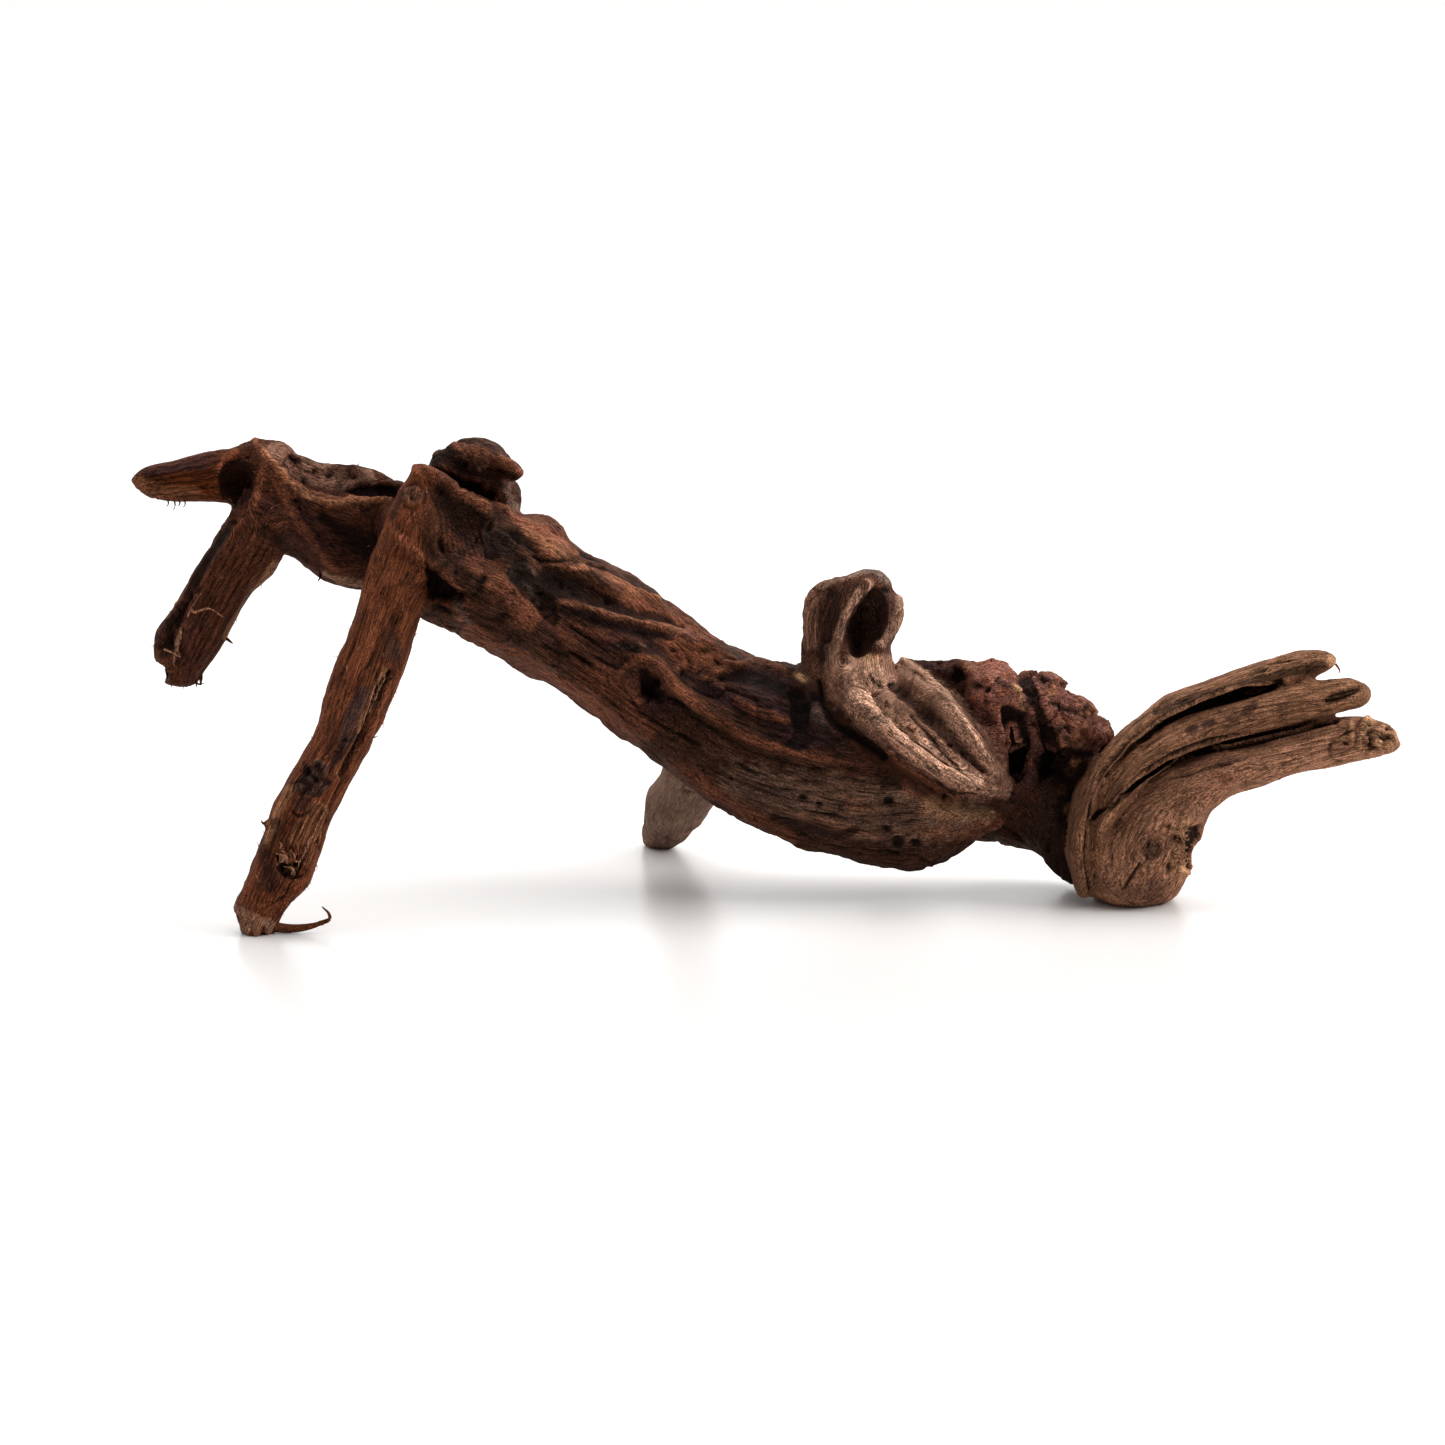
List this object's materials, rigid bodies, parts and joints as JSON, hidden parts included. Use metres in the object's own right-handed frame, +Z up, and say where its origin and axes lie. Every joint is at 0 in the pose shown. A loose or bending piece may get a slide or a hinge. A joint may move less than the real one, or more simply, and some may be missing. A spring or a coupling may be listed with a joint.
{
  "type": "aquarium driftwood",
  "caption": "Gnarled branching driftwood root for an aquarium or terrarium: a sloping trunk on splayed legs, with an arch below, a hollow curl and a foot that splits into fingers.",
  "frame": {"origin": "on the floor, under the middle of the bounding box", "axes": "+Z up as it stands, +X along the wood towards the end split into fingers, -Y to the side that the picture shows"},
  "size_m": [0.379, 0.1213, 0.1357],
  "materials": {
    "dark_wood": "water-worn, dark resin in the grooves",
    "red_wood": "water-worn, fine fibrous grain",
    "tan_wood": "dry, smooth, fine curved grain",
    "grey_wood": "dry, weathered grey-brown"
  },
  "bodies": {
    "root": {"trunk": "dark_wood", "front_leg": "red_wood", "rear_leg": "grey_wood", "left_arm": "red_wood", "left_stub": "red_wood", "hanging_branch": "red_wood", "curl": "dark_wood", "foot": "tan_wood", "upper_finger": "tan_wood", "middle_finger": "tan_wood"}
  },
  "joints": []
}
